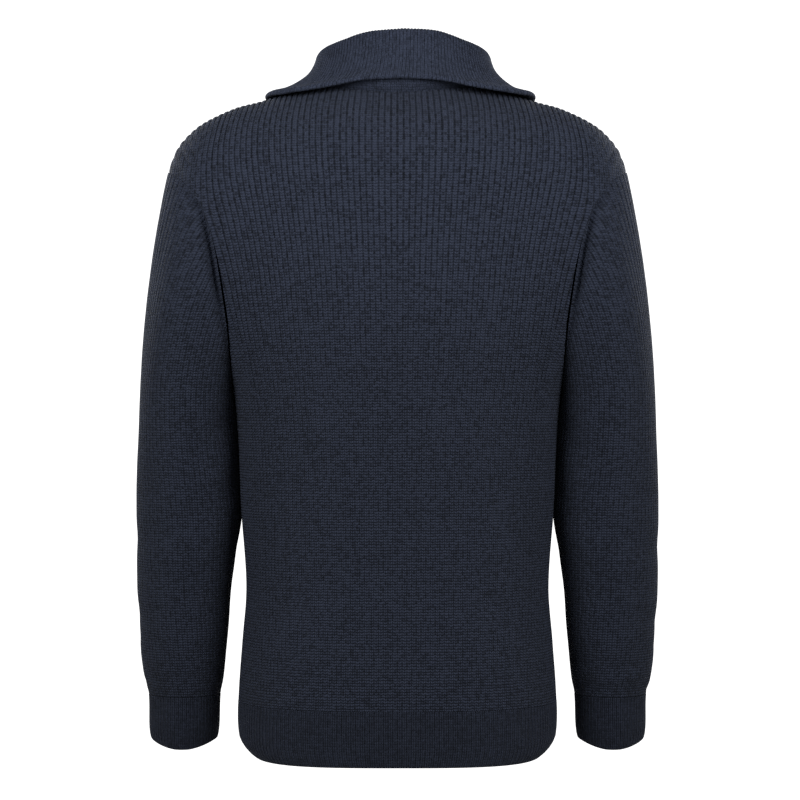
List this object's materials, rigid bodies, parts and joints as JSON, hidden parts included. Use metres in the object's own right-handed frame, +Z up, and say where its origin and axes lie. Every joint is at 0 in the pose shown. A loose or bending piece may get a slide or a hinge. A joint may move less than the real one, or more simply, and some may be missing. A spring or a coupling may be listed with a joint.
{
  "type": "quarter-zip sweater, worn shape",
  "caption": "Hollow quarter-zip pullover in thick ribbed navy knit, worn shape, turned-down collar, rib hem and cuffs, swinging zip pull.",
  "frame": {"origin": "base of the neck, in the middle of the neck hole, where the garment hangs on its wearer", "axes": "+Z up towards the head, -Y out of the front, +X towards the wearer's left"},
  "size_m": [0.539, 0.2544, 0.7349],
  "materials": {
    "body_knit": "thick heathered navy wool in a raised rib, matt and slightly hairy",
    "rib_knit": "the same wool in a tighter one by one rib, for hem and cuffs",
    "collar_knit": "the same wool in a fine one by one rib, for the collar",
    "zip_tape": "woven dark navy polyester tape with a herringbone grain",
    "zip_metal": "dull gunmetal, worn bright on the edges"
  },
  "bodies": {
    "garment": {"back_panel": "body_knit", "front_panel": "body_knit", "sleeve_left": "body_knit", "sleeve_right": "body_knit", "hem_rib_back": "rib_knit", "hem_rib_front": "rib_knit", "cuff_left": "rib_knit", "cuff_right": "rib_knit", "collar": "collar_knit", "zip_tape_left": "zip_tape", "zip_tape_right": "zip_tape", "zip_slider": "zip_metal"},
    "pull": {"zip_pull": "zip_metal"}
  },
  "joints": [
    {"name": "pull_swing", "type": "hinge", "parent": "garment", "child": "pull", "pos_m": [0, -0.09659, -0.06665], "axis": [-1, 0, 0], "range_deg": [0, 120]}
  ]
}
